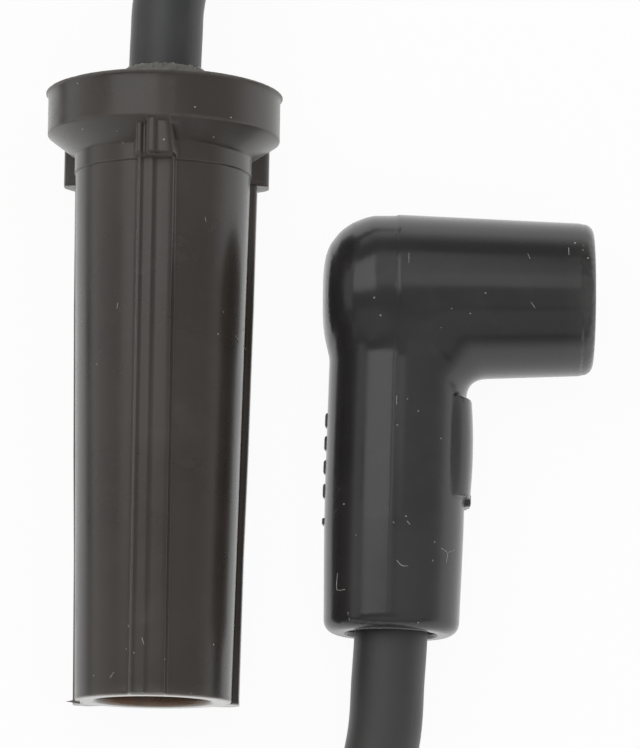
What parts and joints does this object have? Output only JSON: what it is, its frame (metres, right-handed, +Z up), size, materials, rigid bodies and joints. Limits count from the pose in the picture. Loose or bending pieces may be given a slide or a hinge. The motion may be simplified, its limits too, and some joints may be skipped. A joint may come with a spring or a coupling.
{
  "type": "spark plug wire",
  "caption": "Ignition cable laid in a loop, with a straight flanged rubber boot on the spark plug end and a right-angle rubber boot on the coil end.",
  "frame": {"origin": "bottom centre of the box round the two boots, on the surface that the wire lies on", "axes": "+Z up; +Y along the straight boot, from its tip towards its cable end; +X towards the mouth of the right-angle boot's arm"},
  "size_m": [0.0915, 0.1987, 0.026],
  "materials": {
    "brown_black_rubber": "semi-matt moulded rubber, brown-black, with bloom and scuffs",
    "black_rubber": "semi-matt moulded rubber, near black",
    "cable_jacket": "matt charcoal extruded jacket",
    "plated_steel": "zinc-plated stamped sheet",
    "spring_steel": "drawn spring wire",
    "brass": "stamped brass sheet",
    "carbon_strand": "carbon-coated glass strand"
  },
  "bodies": {
    "root": {"spark_plug_boot": "brown_black_rubber", "plug_terminal": "plated_steel", "plug_terminal_snap_ring": "spring_steel", "plug_end_folded_core": "carbon_strand", "right_angle_boot": "black_rubber", "right_angle_terminal": "brass", "right_angle_terminal_snap_ring": "spring_steel", "coil_end_folded_core": "carbon_strand", "cable": "cable_jacket"}
  },
  "joints": []
}
